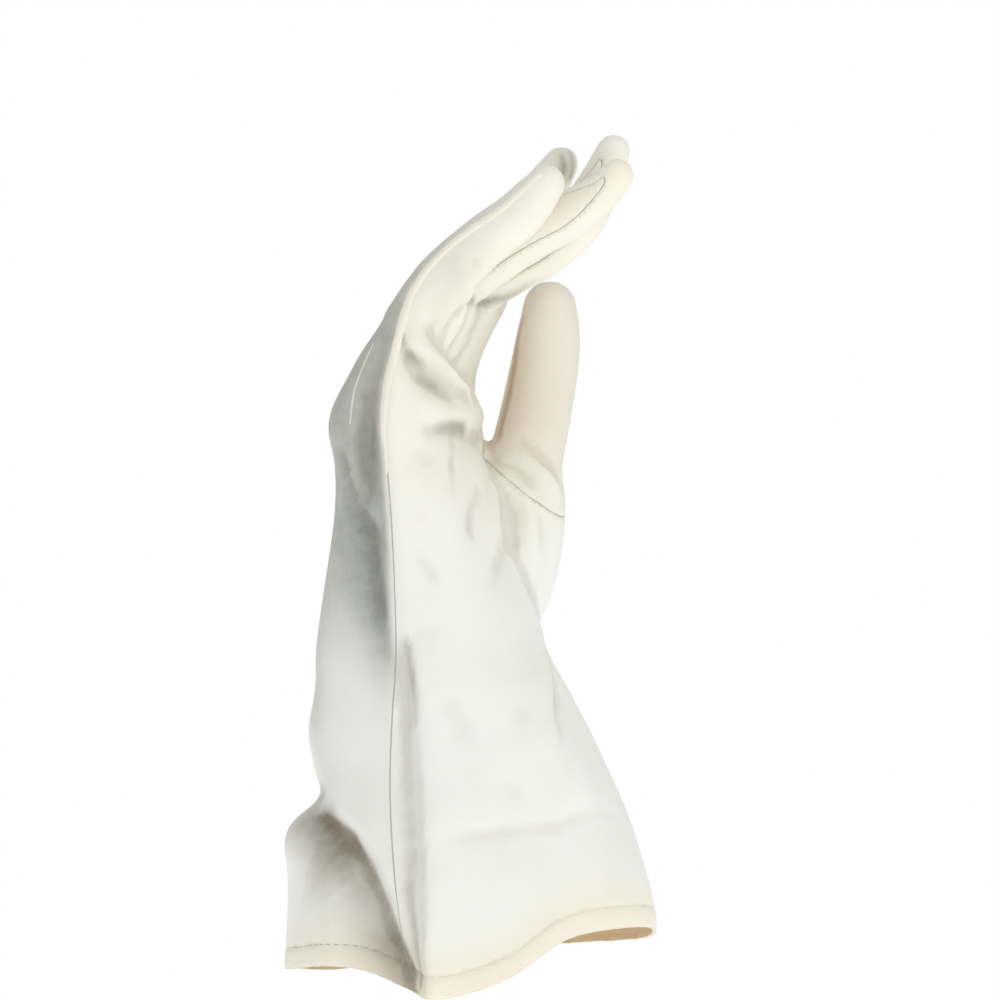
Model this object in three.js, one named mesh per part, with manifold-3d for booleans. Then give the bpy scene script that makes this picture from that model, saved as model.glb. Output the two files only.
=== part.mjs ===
// Dress glove for a right hand, in thin cream leather, with a flared open cuff.
// Millimetres and degrees. +X is the palm side, +Y the thumb side, +Z up along the arm and hand.
// The origin is the middle of the wrist. Round the arm, angle 0 faces +X and 90 faces +Y.
import * as THREE from 'three';
import { mergeVertices } from 'three/addons/utils/BufferGeometryUtils.js';
import Module from 'manifold-3d';

const wasm = await Module();
wasm.setup();

// Leather and seams
const wall = 1.2;
const seamGap = 0.3;
const weldAllowance = 0.05;

// Fineness of the walls
const bodySides = 32;
const bodyRings = 28;
const fingerSides = 10;
const fingerRings = 8;
const thumbSides = 12;
const tipAngles = [25, 50, 72];

// Cuff edge: its mean height, how far up its wave reaches, how far the hollow runs on below it, and
// the wave round the arm
const hemHeight = -97;
const hemWaveTop = -50;
const hemOverrun = 10;
const hemLine = [
  { angle: -180, height: -101 },
  { angle: -145, height: -98 },
  { angle: -112, height: -95 },
  { angle: -84, height: -104 },
  { angle: -60, height: -98 },
  { angle: -40, height: -85 },
  { angle: -18, height: -82 },
  { angle: 12, height: -84 },
  { angle: 40, height: -90 },
  { angle: 75, height: -94 },
  { angle: 120, height: -99 },
  { angle: 155, height: -103 },
  { angle: 180, height: -101 },
];

// Cuff, wrist, heel and palm: height, middle, thickness from back to palm, width from little finger
// to thumb side, how square the section is (2 is an ellipse), its lean towards the palm, and the
// turn of its thumb side towards the back, and the slant that lifts its thumb side
const bodySections = [
  { z: -97, x: 12, thick: 131, wide: 122, square: 2, lean: 0, turn: 0, slant: 0 },
  { z: -80, x: 11.5, thick: 129, wide: 118, square: 2, lean: 0, turn: 0, slant: 0 },
  { z: -64, x: 10.5, thick: 126, wide: 113, square: 2, lean: 0, turn: 0, slant: 0 },
  { z: -49, x: 9.5, thick: 121, wide: 107, square: 2, lean: 0, turn: 0, slant: 0 },
  { z: -38, x: 10.5, thick: 110, wide: 102, square: 2, lean: 0, turn: 0, slant: 0 },
  { z: -28, x: 9, thick: 104, wide: 97, square: 2, lean: 0, turn: 0, slant: 0 },
  { z: -14, x: 5.5, thick: 97, wide: 91, square: 2.1, lean: 0, turn: 0, slant: 0 },
  { z: 0, x: 2, thick: 89, wide: 87, square: 2.1, lean: 0, turn: 0, slant: 0 },
  { z: 14, x: -2, thick: 81, wide: 85, square: 2.1, lean: 0, turn: 0, slant: 0 },
  { z: 30, x: -3.5, thick: 72, wide: 85, square: 2.2, lean: 0, turn: 0, slant: 0 },
  { z: 47, x: -5, thick: 61, wide: 86, square: 2.3, lean: 0, turn: 0, slant: 0 },
  { z: 64, x: -6, thick: 52, wide: 87, square: 2.4, lean: 0, turn: 0, slant: 0 },
  { z: 80, x: -8.5, thick: 45, wide: 87, square: 2.5, lean: 0, turn: 0, slant: 0.5 },
  { z: 91, x: -11, thick: 43, wide: 87, square: 2.5, lean: 2, turn: 1, slant: 1 },
  { z: 99, x: -11, thick: 40, wide: 87, square: 2.5, lean: 7, turn: 2, slant: 1.5 },
  { z: 107, x: -9.5, thick: 35, wide: 87, square: 2.6, lean: 13, turn: 3, slant: 2 },
  { z: 116, x: -6.9, thick: 30, wide: 86, square: 2.7, lean: 21, turn: 4, slant: 2.5 },
  { z: 125, x: -2.3, thick: 26, wide: 85, square: 2.8, lean: 29, turn: 5, slant: 3 },
  { z: 134, x: 3.2, thick: 24, wide: 84, square: 3, lean: 37, turn: 6, slant: 4 },
  { z: 142, x: 9.6, thick: 21, wide: 82, square: 3, lean: 45, turn: 7, slant: 5 },
  { z: 147, x: 14, thick: 14, wide: 78, square: 3, lean: 48, turn: 8, slant: 5 },
];

// Folds of the body. Each runs from one place round the arm to another, stands out where its height
// is above zero and is a hollow where it is below, and fades over its reach to both sides
const foldRadius = 48;
const bodyFolds = [
  { name: 'ulnar corner', a0: -83, z0: 25, a1: -85, z1: -104, h0: 0, h1: 5, reach: 8 },
  { name: 'side corner', a0: -94, z0: 118, a1: -88, z1: 0, h0: 1.5, h1: 2.5, reach: 10 },
  { name: 'back shoulder', a0: 150, z0: -52, a1: 215, z1: -54, h0: 1, h1: 3, reach: 9 },
  { name: 'back notch', a0: 150, z0: -39, a1: 215, z1: -37, h0: -1.5, h1: -4, reach: 6 },
  { name: 'back bulge', a0: 160, z0: -18, a1: 215, z1: -14, h0: 1, h1: 2.5, reach: 12 },
  { name: 'back fold', a0: 205, z0: -48, a1: 246, z1: -104, h0: -4, h1: -16, reach: 12 },
  { name: 'thumb side corner', a0: 42, z0: 18, a1: 36, z1: -90, h0: 2, h1: 4, reach: 20 },
  { name: 'palm hollow', a0: 8, z0: 12, a1: -2, z1: -34, h0: -1.5, h1: -2.5, reach: 12 },
  { name: 'cuff dent', a0: -50, z0: -38, a1: 0, z1: -46, h0: -2.5, h1: -1, reach: 9 },
  { name: 'side ridge', a0: -82, z0: 129, a1: -38, z1: 106, h0: 1.5, h1: 3, reach: 5 },
  { name: 'side hollow', a0: -92, z0: 119, a1: -48, z1: 99, h0: -1.5, h1: -2.5, reach: 5 },
  { name: 'palm roll', a0: -35, z0: 106, a1: 20, z1: 104, h0: 3, h1: 3.5, reach: 8 },
  { name: 'palm crease', a0: -35, z0: 92, a1: 20, z1: 92, h0: -1.5, h1: -3.5, reach: 6 },
  { name: 'knuckle', a0: -150, z0: 96, a1: 150, z1: 98, h0: 1.5, h1: 1.5, reach: 10 },
];

// Fingers: the middle line, then thickness and width there
const fingers = [
  {
    name: 'little',
    line: [
      { x: 0, y: -31, z: 126.5, thick: 19, wide: 19 },
      { x: 14, y: -31.5, z: 143, thick: 20.5, wide: 20 },
      { x: 30, y: -32, z: 156.5, thick: 18.5, wide: 19.5 },
      { x: 42, y: -32, z: 164.5, thick: 17.5, wide: 19 },
      { x: 52, y: -31.5, z: 175, thick: 15, wide: 17 },
      { x: 57, y: -31, z: 180.5, thick: 12.5, wide: 14.5 },
    ],
  },
  {
    name: 'ring',
    line: [
      { x: 1, y: -10.5, z: 131.5, thick: 19, wide: 19.5 },
      { x: 13, y: -10.5, z: 144.5, thick: 20, wide: 20 },
      { x: 27, y: -10.5, z: 154, thick: 19, wide: 20 },
      { x: 40, y: -11, z: 161, thick: 18.5, wide: 20 },
      { x: 55, y: -11, z: 168, thick: 17, wide: 19 },
      { x: 66, y: -11, z: 174.5, thick: 14, wide: 17 },
      { x: 72.5, y: -11, z: 181, thick: 11.5, wide: 14.5 },
    ],
  },
  {
    name: 'middle',
    line: [
      { x: -1, y: 10.5, z: 132, thick: 19, wide: 19.5 },
      { x: 10, y: 10.5, z: 144, thick: 20, wide: 20 },
      { x: 24, y: 10.5, z: 152, thick: 20, wide: 20 },
      { x: 38, y: 10.5, z: 159, thick: 20, wide: 20 },
      { x: 50.5, y: 10.5, z: 169, thick: 19, wide: 19.5 },
      { x: 58, y: 10.5, z: 180.5, thick: 15.5, wide: 18 },
      { x: 64, y: 10.5, z: 193, thick: 12, wide: 15 },
    ],
  },
  {
    name: 'index',
    line: [
      { x: -4, y: 31, z: 131, thick: 18, wide: 19 },
      { x: 4.5, y: 31.5, z: 144.5, thick: 19.5, wide: 20 },
      { x: 13, y: 32, z: 158.5, thick: 19.5, wide: 20 },
      { x: 22, y: 32, z: 172.5, thick: 18.5, wide: 19.5 },
      { x: 31, y: 31, z: 184, thick: 16.5, wide: 18 },
      { x: 37.5, y: 30, z: 192.5, thick: 13, wide: 15 },
    ],
  },
];

// Thumb: its middle line as for a finger
const thumbLine = [
  { x: 9, y: 26, z: 20, thick: 34, wide: 24 },
  { x: 17, y: 30, z: 44, thick: 36, wide: 30 },
  { x: 20.5, y: 34, z: 66, thick: 33, wide: 30 },
  { x: 21, y: 36, z: 82, thick: 28, wide: 28 },
  { x: 24.5, y: 37, z: 99.5, thick: 26.5, wide: 26 },
  { x: 28, y: 37, z: 116.5, thick: 25.5, wide: 25 },
  { x: 30, y: 37, z: 130.5, thick: 23.5, wide: 23 },
  { x: 30.5, y: 37, z: 140.5, thick: 20, wide: 20 },
];

// The seam round the base of the thumb: the thumb's leather is what lies above and beyond the lowest
// edge of a block this large, which slopes down away from the palm
const seamBlock = 140;
const thumbSeam = { x: 28, y: 20, z: 70, slope: 38 };

// Forks between the fingers: half their width, how far they sit towards the back of the finger, how
// much of the width is left at the tip, the row where
// a finger leaves the hand, where the fork ends along a finger, how far out on the finger it starts,
// and how far the crotch piece reaches down and up from the finger roots
const forkSteps = 4;
const forkHalfWidth = 4.6;
const forkSetBack = 1.8;
const forkTipTaper = 0.6;
const forkRoot = 1;
const forkTipFraction = 0.86;
const forkSide = 0.62;
const forkClearance = 0.8;
const crotchDepth = 7;
const crotchRise = 11;
const forks = [
  { name: 'fork_little_ring', first: 0, second: 1 },
  { name: 'fork_ring_middle', first: 1, second: 2 },
  { name: 'fork_middle_index', first: 2, second: 3 },
];

const leather = { color: 0xf1ede2, roughness: 0.55, metalness: 0 };
const thumbLeather = { color: 0xddd0c1, roughness: 0.55, metalness: 0 };
const forkLeather = { color: 0xe9e2d6, roughness: 0.55, metalness: 0 };

const radians = THREE.MathUtils.degToRad;

// A smooth value of one column of a table, at a place given in rows
function columnAt(rows, column, place) {
  const last = rows.length - 1;
  const row = Math.min(Math.floor(place), last - 1);
  const t = place - row;
  const value = (i) => rows[THREE.MathUtils.clamp(i, 0, last)][column];
  const slopeA = (value(row + 1) - value(row - 1)) / 2;
  const slopeB = (value(row + 2) - value(row)) / 2;
  const rise = value(row + 1) - value(row);
  const bend = 3 * rise - 2 * slopeA - slopeB;
  const twist = slopeA + slopeB - 2 * rise;
  return value(row) + t * (slopeA + t * (bend + t * twist));
}

function rowAt(rows, place) {
  const columns = Object.keys(rows[0]);
  return Object.fromEntries(columns.map((column) => [column, columnAt(rows, column, place)]));
}

// Height of the cuff edge at an angle round the arm
function hemAt(angle) {
  const wrapped = THREE.MathUtils.euclideanModulo(angle + 180, 360) - 180;
  const next = Math.max(1, hemLine.findIndex((row) => row.angle >= wrapped));
  const a = hemLine[next - 1];
  const b = hemLine[next];
  const t = THREE.MathUtils.smoothstep(wrapped, a.angle, b.angle);
  return THREE.MathUtils.lerp(a.height, b.height, t);
}

// How far the folds push the body's wall out at an angle and a height
function foldAt(angle, z) {
  let push = 0;
  for (const fold of bodyFolds) {
    const runAngle = radians(fold.a1 - fold.a0) * foldRadius;
    const runZ = fold.z1 - fold.z0;
    const turns = Math.round((angle - (fold.a0 + fold.a1) / 2) / 360);
    const s = radians(angle - 360 * turns - fold.a0) * foldRadius;
    const h = z - fold.z0;
    const along = THREE.MathUtils.clamp((s * runAngle + h * runZ) / (runAngle ** 2 + runZ ** 2), 0, 1);
    const away = Math.hypot(s - along * runAngle, h - along * runZ) / fold.reach;
    push += THREE.MathUtils.lerp(fold.h0, fold.h1, along) * Math.exp(-away * away);
  }
  return push;
}

// A closed skin over a list of rings of points, each ring with the same number of points
function skin(rings) {
  const sides = rings[0].length;
  const positions = rings.flat();
  const index = [];
  for (let ring = 0; ring < rings.length - 1; ring++) {
    for (let side = 0; side < sides; side++) {
      const a = ring * sides + side;
      const b = ring * sides + (side + 1) % sides;
      index.push(a, b, b + sides, a, b + sides, a + sides);
    }
  }
  const middle = (ring) => ring.reduce((sum, p) => sum.add(p), new THREE.Vector3()).divideScalar(sides);
  const bottom = positions.length;
  const top = bottom + 1;
  positions.push(middle(rings[0]), middle(rings.at(-1)));
  const lastRing = (rings.length - 1) * sides;
  for (let side = 0; side < sides; side++) {
    const next = (side + 1) % sides;
    index.push(bottom, next, side, top, lastRing + side, lastRing + next);
  }
  const geometry = new THREE.BufferGeometry().setFromPoints(positions);
  geometry.setIndex(index);
  return geometry;
}

function solid(geometry) {
  const bare = geometry.clone();
  bare.deleteAttribute('normal');
  bare.deleteAttribute('uv');
  const merged = mergeVertices(bare, 1e-4);
  const vertProperties = new Float32Array(merged.attributes.position.array);
  const triVerts = new Uint32Array(merged.index.array);
  return new wasm.Manifold(new wasm.Mesh({ numProp: 3, vertProperties, triVerts }));
}

function joined(solids) {
  return solids.reduce((whole, next) => whole.add(next));
}

// Directions across a section: from back to palm, and from little finger to thumb side
function crossAxes(along, turn = 0) {
  const side = new THREE.Vector3(0, 1, 0).addScaledVector(along, -along.y).normalize();
  const front = new THREE.Vector3().crossVectors(side, along);
  side.applyAxisAngle(along, radians(turn));
  front.applyAxisAngle(along, radians(turn));
  return { front, side };
}

// A cosine or sine pushed towards the corner of a squarer section
function squared(value, square) {
  return Math.sign(value) * Math.abs(value) ** (2 / square);
}

// The body, drawn in by an inset all round. The hollow runs on past the cuff edge by an overrun
function bodySolid(inset, overrun) {
  const rings = [];
  for (let ring = 0; ring < bodyRings; ring++) {
    const row = rowAt(bodySections, (ring / (bodyRings - 1)) * (bodySections.length - 1));
    const along = new THREE.Vector3(Math.sin(radians(row.lean)), 0, Math.cos(radians(row.lean)));
    const { front, side } = crossAxes(along, row.turn);
    side.applyAxisAngle(front, radians(row.slant));
    const hemShare = 1 - THREE.MathUtils.smoothstep(row.z, hemHeight, hemWaveTop);
    const points = [];
    for (let i = 0; i < bodySides; i++) {
      const angle = (360 * i) / bodySides - 90;
      const push = foldAt(angle, row.z) - inset;
      const u = (row.thick / 2 + push) * squared(Math.cos(radians(angle)), row.square);
      const v = (row.wide / 2 + push) * squared(Math.sin(radians(angle)), row.square);
      const p = new THREE.Vector3(row.x, 0, row.z).addScaledVector(front, u).addScaledVector(side, v);
      p.z += (hemAt(angle) - hemHeight) * hemShare;
      points.push(p);
    }
    rings.push(points);
  }
  const topLean = radians(bodySections.at(-1).lean);
  const topAlong = new THREE.Vector3(Math.sin(topLean), 0, Math.cos(topLean));
  rings.at(-1).forEach((p) => p.addScaledVector(topAlong, -inset));
  if (overrun > 0) {
    rings.unshift(rings[0].map((p) => p.clone().setZ(p.z - overrun)));
  }
  return solid(skin(rings));
}

// Places along a finger, even along its length and closer in its round tip
function fingerStations(line) {
  const last = line.length - 1;
  const stations = [];
  for (let i = 0; i < fingerRings; i++) {
    stations.push({ place: (i / (fingerRings - 1)) * last, scale: 1, ahead: 0 });
  }
  const tipRadius = line[last].thick / 2;
  for (const angle of tipAngles) {
    stations.push({
      place: last,
      scale: Math.cos(radians(angle)),
      ahead: tipRadius * Math.sin(radians(angle)),
    });
  }
  return stations;
}

function fingerFrame(line, place) {
  const row = rowAt(line, place);
  const step = 0.01;
  const before = rowAt(line, Math.max(0, place - step));
  const after = rowAt(line, Math.min(line.length - 1, place + step));
  const along = new THREE.Vector3(after.x - before.x, after.y - before.y, after.z - before.z).normalize();
  return { row, along, ...crossAxes(along) };
}

// A finger, drawn in by an inset all round
function fingerSolid(line, sides, inset) {
  const rings = fingerStations(line).map((station) => {
    const { row, along, front, side } = fingerFrame(line, station.place);
    const points = [];
    for (let i = 0; i < sides; i++) {
      const angle = (2 * Math.PI * (i + 0.5)) / sides;
      const u = (row.thick / 2 - inset) * station.scale * Math.cos(angle);
      const v = (row.wide / 2 - inset) * station.scale * Math.sin(angle);
      const ahead = station.ahead * (1 - (2 * inset) / row.thick);
      points.push(
        new THREE.Vector3(row.x, row.y, row.z)
          .addScaledVector(front, u)
          .addScaledVector(side, v)
          .addScaledVector(along, ahead),
      );
    }
    return points;
  });
  return solid(skin(rings));
}

// A strip that follows one side of a finger, to part the fork from the rest
function forkStrip(line, direction, grow) {
  const last = line.length - 1;
  const rings = [];
  for (let i = 0; i <= forkSteps; i++) {
    const place = forkRoot + ((last * forkTipFraction - forkRoot) * i) / forkSteps;
    const { row, along, front, side } = fingerFrame(line, place);
    const ends = i === 0 ? -grow : i === forkSteps ? grow : 0;
    const near = (row.wide / 2) * forkSide - grow;
    const far = row.wide / 2 + forkClearance + grow;
    const half = forkHalfWidth * (i === forkSteps ? forkTipTaper : 1) + grow;
    const [back, palm] = [-forkSetBack - half, half - forkSetBack];
    const corners = [[back, near], [palm, near], [palm, far], [back, far]];
    const ring = corners.map(([u, v]) =>
      new THREE.Vector3(row.x, row.y, row.z)
        .addScaledVector(front, u)
        .addScaledVector(side, v * direction)
        .addScaledVector(along, ends),
    );
    rings.push(direction > 0 ? ring : ring.reverse());
  }
  return solid(skin(rings));
}

const pieces = new THREE.Group();

function addPiece(name, shape, look) {
  const mesh = shape.getMesh();
  const geometry = new THREE.BufferGeometry();
  geometry.setAttribute('position', new THREE.BufferAttribute(mesh.vertProperties, 3));
  geometry.setIndex(new THREE.BufferAttribute(mesh.triVerts, 1));
  geometry.computeVertexNormals();
  const piece = new THREE.Mesh(geometry, new THREE.MeshStandardMaterial(look));
  piece.name = name;
  pieces.add(piece);
}

const outside = joined([
  bodySolid(0, 0),
  fingerSolid(thumbLine, thumbSides, 0),
  ...fingers.map((finger) => fingerSolid(finger.line, fingerSides, 0)),
]);
const inside = joined([
  bodySolid(wall, hemOverrun),
  fingerSolid(thumbLine, thumbSides, wall),
  ...fingers.map((finger) => fingerSolid(finger.line, fingerSides, wall)),
]);
const leatherShell = outside.subtract(inside);

// The thumb's share of the shell: all of the thumb's tube inside the block
function thumbShare(grow) {
  const box = new THREE.BoxGeometry(seamBlock, seamBlock, seamBlock);
  box.translate(0, seamBlock / 2 - grow, seamBlock / 2 - grow);
  box.rotateY(radians(thumbSeam.slope));
  box.translate(thumbSeam.x, thumbSeam.y, thumbSeam.z);
  return solid(box).intersect(fingerSolid(thumbLine, thumbSides, -weldAllowance - grow));
}

// A fork's share of the shell: one strip on each finger, and the bottom of the crotch between them
function forkShare(fork, grow) {
  const first = fingers[fork.first].line;
  const second = fingers[fork.second].line;
  const a = fingerFrame(first, forkRoot);
  const b = fingerFrame(second, forkRoot);
  const along = a.along.clone().add(b.along).normalize();
  const { front, side } = crossAxes(along);
  const middle = new THREE.Vector3(
    (a.row.x + b.row.x) / 2,
    (a.row.y + b.row.y) / 2,
    (a.row.z + b.row.z) / 2,
  );
  const span = (b.row.y - a.row.y) / 2 - (a.row.wide / 2) * forkSide + grow;
  const half = forkHalfWidth + grow;
  const [back, palm] = [-forkSetBack - half, half - forkSetBack];
  const rings = [-crotchDepth - grow, crotchRise + grow].map((ahead) =>
    [[back, -span], [palm, -span], [palm, span], [back, span]].map(([u, v]) =>
      middle
        .clone()
        .addScaledVector(front, u)
        .addScaledVector(side, v)
        .addScaledVector(along, ahead),
    ),
  );
  return joined([forkStrip(first, 1, grow), forkStrip(second, -1, grow), solid(skin(rings))]);
}

let trank = leatherShell.subtract(thumbShare(seamGap));
addPiece('thumb', leatherShell.intersect(thumbShare(0)), thumbLeather);
for (const fork of forks) {
  addPiece(fork.name, leatherShell.intersect(forkShare(fork, 0)), forkLeather);
  trank = trank.subtract(forkShare(fork, seamGap));
}
addPiece('trank', trank, leather);

export default pieces;
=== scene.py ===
import math
import bmesh
import bpy
import numpy as np
from mathutils import Matrix, Vector
from mathutils.bvhtree import BVHTree


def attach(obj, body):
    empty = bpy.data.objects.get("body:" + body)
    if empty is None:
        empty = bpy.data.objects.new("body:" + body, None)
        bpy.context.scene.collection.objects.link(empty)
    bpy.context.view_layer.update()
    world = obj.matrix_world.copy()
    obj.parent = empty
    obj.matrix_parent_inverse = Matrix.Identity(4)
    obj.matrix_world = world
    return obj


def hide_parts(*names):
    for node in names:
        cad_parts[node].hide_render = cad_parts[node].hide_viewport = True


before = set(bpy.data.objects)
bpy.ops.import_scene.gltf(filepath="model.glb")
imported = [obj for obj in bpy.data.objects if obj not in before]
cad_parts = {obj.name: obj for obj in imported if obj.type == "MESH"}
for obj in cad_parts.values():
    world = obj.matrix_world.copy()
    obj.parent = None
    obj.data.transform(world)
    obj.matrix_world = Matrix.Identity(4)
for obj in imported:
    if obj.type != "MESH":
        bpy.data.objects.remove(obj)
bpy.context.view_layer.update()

# A right-hand dress glove in cream kid leather. +X is the palm side, +Y the thumb side, +Z up.
# Tables are in millimetres and degrees, and the scene is in metres. Tables of places in the picture are
# in pixels of its 1000 by 1000 frame.
mm = 0.001
scene = bpy.context.scene
scene.view_settings.view_transform = "Standard"

cameraSet = {"azimuth": 20, "elevation": -3, "distance": 1200, "target": (21.6, 7.8, 68.3),
             "lens": 120, "sensor": 36, "frame": 1000}


def cameraAxes():
    a, e = math.radians(cameraSet["azimuth"]), math.radians(cameraSet["elevation"])
    back = Vector((math.sin(a) * math.cos(e), -math.cos(a) * math.cos(e), math.sin(e)))
    right = Vector((math.cos(a), math.sin(a), 0))
    return back, right, back.cross(right)


def addCamera():
    back = cameraAxes()[0]
    data = bpy.data.cameras.new("camera")
    data.lens, data.sensor_width = cameraSet["lens"], cameraSet["sensor"]
    camera = bpy.data.objects.new("camera", data)
    scene.collection.objects.link(camera)
    camera.location = (Vector(cameraSet["target"]) + back * cameraSet["distance"]) * mm
    camera.rotation_mode = "QUATERNION"
    camera.rotation_quaternion = (-back).to_track_quat("-Z", "Y")
    scene.camera = camera


def sightLine(px, py):  # from the camera through a place in the picture
    back, right, up = cameraAxes()
    perPixel = cameraSet["sensor"] / cameraSet["lens"] / cameraSet["frame"]
    half = cameraSet["frame"] / 2
    start = (Vector(cameraSet["target"]) + back * cameraSet["distance"]) * mm
    return start, (-back + right * (px - half) * perPixel + up * (half - py) * perPixel).normalized()


addCamera()
print("camera set")


# Sections up the body: z, x, thick, wide, squareness, lean, turn and slant
bodySections = np.array([
    (-125, 12, 133, 126, 2, 0, 0, 0), (-110, 12, 132, 124, 2, 0, 0, 0),
    (-97, 12, 131, 122, 2, 0, 0, 0), (-80, 11.5, 129, 118, 2, 0, 0, 0),
    (-64, 10.5, 126, 113, 2, 0, 0, 0), (-49, 9.5, 121, 107, 2, 0, 0, 0),
    (-38, 10.5, 110, 102, 2, 0, 0, 0), (-28, 9, 104, 97, 2, 0, 0, 0),
    (-14, 5.5, 97, 91, 2.1, 0, 0, 0), (0, 2, 89, 87, 2.1, 0, 0, 0),
    (14, -2, 81, 85, 2.1, 0, 0, 0), (30, -3.5, 72, 85, 2.2, 0, 0, 0),
    (47, -5, 61, 86, 2.3, 0, 0, 0), (64, -6, 52, 87, 2.4, 0, 0, 0),
    (80, -8.5, 45, 87, 2.5, 0, 0, 0.5), (91, -11, 43, 87, 2.5, 2, 1, 1),
    (99, -11, 40, 87, 2.5, 7, 2, 1.5), (107, -9.5, 35, 87, 2.6, 13, 3, 2),
    (116, -6.9, 30, 86, 2.7, 21, 4, 2.5), (125, -2.3, 26, 85, 2.8, 29, 5, 3),
    (134, 3.2, 24, 84, 3, 37, 6, 4), (142, 9.6, 21, 82, 3, 45, 7, 5), (147, 14, 14, 78, 3, 48, 8, 5),
], dtype=float)

# angle round the arm, height of the cuff edge there
hemLine = np.array([
    (-180, -101), (-145, -98), (-112, -95), (-84, -104), (-60, -98), (-40, -85), (-18, -82),
    (12, -84), (40, -90), (75, -94), (120, -99), (155, -103), (180, -101)], dtype=float)

# broad folds of the body: from angle and height to angle and height, push at both ends, reach
broadFolds = [
    (150, -52, 215, -54, 1, 3, 9), (150, -39, 215, -37, -1.5, -4, 6),
    (160, -18, 215, -14, 1, 2.5, 12), (42, 18, 36, -90, 2, 4, 20),
    (8, 12, -2, -34, -1.5, -2.5, 12), (-50, -38, 0, -46, -2.5, -1, 9),
    (-35, 106, 20, 104, 3, 3.5, 8), (-35, 92, 20, 92, -1.5, -3.5, 6),
    (-150, 96, 150, 98, 1.5, 1.5, 10)]

# x, y, z, thick, wide along each finger
fingerLines = {
    "little": [(0, -31, 126.5, 19, 19), (14, -31.5, 143, 20.5, 20), (30, -32, 156.5, 18.5, 19.5),
               (42, -32, 164.5, 17.5, 19), (49.5, -31.5, 172, 15.5, 17.5), (53.2, -31, 176.2, 12.8, 15)],
    "ring": [(1, -10.5, 131.5, 19, 19.5), (13, -10.5, 144.5, 20, 20), (27, -10.5, 154, 19, 20),
             (40, -11, 161, 18.5, 20), (55, -11, 168, 17, 19), (66, -11, 174.5, 14, 17),
             (72.5, -11, 181, 11.5, 14.5)],
    "middle": [(-1, 10.5, 132, 19, 19.5), (10, 10.5, 144, 20, 20), (24, 10.5, 152, 20, 20),
               (38, 10.5, 159, 20, 20), (50.5, 10.5, 169, 19, 19.5), (58, 10.5, 180.5, 15.5, 18),
               (64, 10.5, 193, 12, 15)],
    "index": [(-4, 31, 131, 18, 19), (4.5, 31.5, 144.5, 19.5, 20), (13, 32, 158.5, 19.5, 20),
              (22, 32, 172.5, 18.5, 19.5), (31, 31, 184, 16.5, 18), (37.5, 30, 192.5, 13, 15)],
    "thumb": [(9, 26, 20, 34, 24), (17, 30, 44, 36, 30), (20.5, 34, 66, 33, 30), (21, 36, 82, 28, 28),
              (24.5, 37, 99.5, 26.5, 26), (28, 37, 116.5, 25.5, 25), (30, 37, 130.5, 23.5, 23),
              (30.5, 37, 140.5, 20, 20)]}
fingerLines = {name: np.array(rows, dtype=float) for name, rows in fingerLines.items()}

skinSet = {"bodySides": 144, "bodyRings": 170, "fingerSides": 44, "fingerRings": 70, "tipRings": 9,
           "foldRadius": 48, "hemHeight": -97, "waveTop": -50, "fingerWidth": 0.955,
           "firstVoxel": 1.3, "firstTurns": 6, "lastVoxel": 1.62, "lastTurns": 1}


def columnsAt(rows, place):  # a smooth row of a table at a place given in rows
    last = len(rows) - 1
    row = min(int(place), last - 1)
    t = place - row
    before, a, b, after = (rows[min(max(row + k, 0), last)] for k in (-1, 0, 1, 2))
    slopeA, slopeB, rise = (b - before) / 2, (after - a) / 2, b - a
    return a + t * (slopeA + t * (3 * rise - 2 * slopeA - slopeB + t * (slopeA + slopeB - 2 * rise)))


def smoothStep(x, low, high):
    t = np.clip((x - low) / (high - low), 0, 1)
    return t * t * (3 - 2 * t)


hemRow = np.array([columnsAt(hemLine, t) for t in np.linspace(0, len(hemLine) - 1, 400)])


def hemAt(angle):  # height of the cuff edge at angles round the arm
    return np.interp((np.asarray(angle, dtype=float) + 180) % 360 - 180, hemRow[:, 0], hemRow[:, 1])


def broadPush(angle, z):
    push = np.zeros_like(angle)
    for a0, z0, a1, z1, h0, h1, reach in broadFolds:
        runA, runZ = math.radians(a1 - a0) * skinSet["foldRadius"], z1 - z0
        turns = np.round((angle - (a0 + a1) / 2) / 360)
        s, h = np.radians(angle - 360 * turns - a0) * skinSet["foldRadius"], z - z0
        along = np.clip((s * runA + h * runZ) / (runA ** 2 + runZ ** 2), 0, 1)
        away = np.hypot(s - along * runA, h - along * runZ) / reach
        push += (h0 + (h1 - h0) * along) * np.exp(-away * away)
    return push


def crossAxes(along, turn=0.0, slant=0.0):  # back to palm, and little finger to thumb side
    side = (Vector((0, 1, 0)) - along * along.y).normalized()
    front = side.cross(along)
    spin = Matrix.Rotation(math.radians(turn), 3, along)
    side, front = spin @ side, spin @ front
    return front, Matrix.Rotation(math.radians(slant), 3, front) @ side


def bodyRings():
    angle = 360 * np.arange(skinSet["bodySides"]) / skinSet["bodySides"] - 90
    c, s = np.cos(np.radians(angle)), np.sin(np.radians(angle))
    rings = []
    for ring in range(skinSet["bodyRings"]):
        place = ring / (skinSet["bodyRings"] - 1) * (len(bodySections) - 1)
        z, x, thick, wide, square, lean, turn, slant = columnsAt(bodySections, place)
        along = Vector((math.sin(math.radians(lean)), 0, math.cos(math.radians(lean))))
        front, side = crossAxes(along, turn, slant)
        push = broadPush(angle, z)
        u = (thick / 2 + push) * np.sign(c) * np.abs(c) ** (2 / square)
        v = (wide / 2 + push) * np.sign(s) * np.abs(s) ** (2 / square)
        points = np.array((x, 0, z)) + np.outer(u, front) + np.outer(v, side)
        share = 1 - smoothStep(z, skinSet["hemHeight"], skinSet["waveTop"])
        points[:, 2] += (hemAt(angle) - skinSet["hemHeight"]) * share
        rings.append(points)
    return rings


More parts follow.
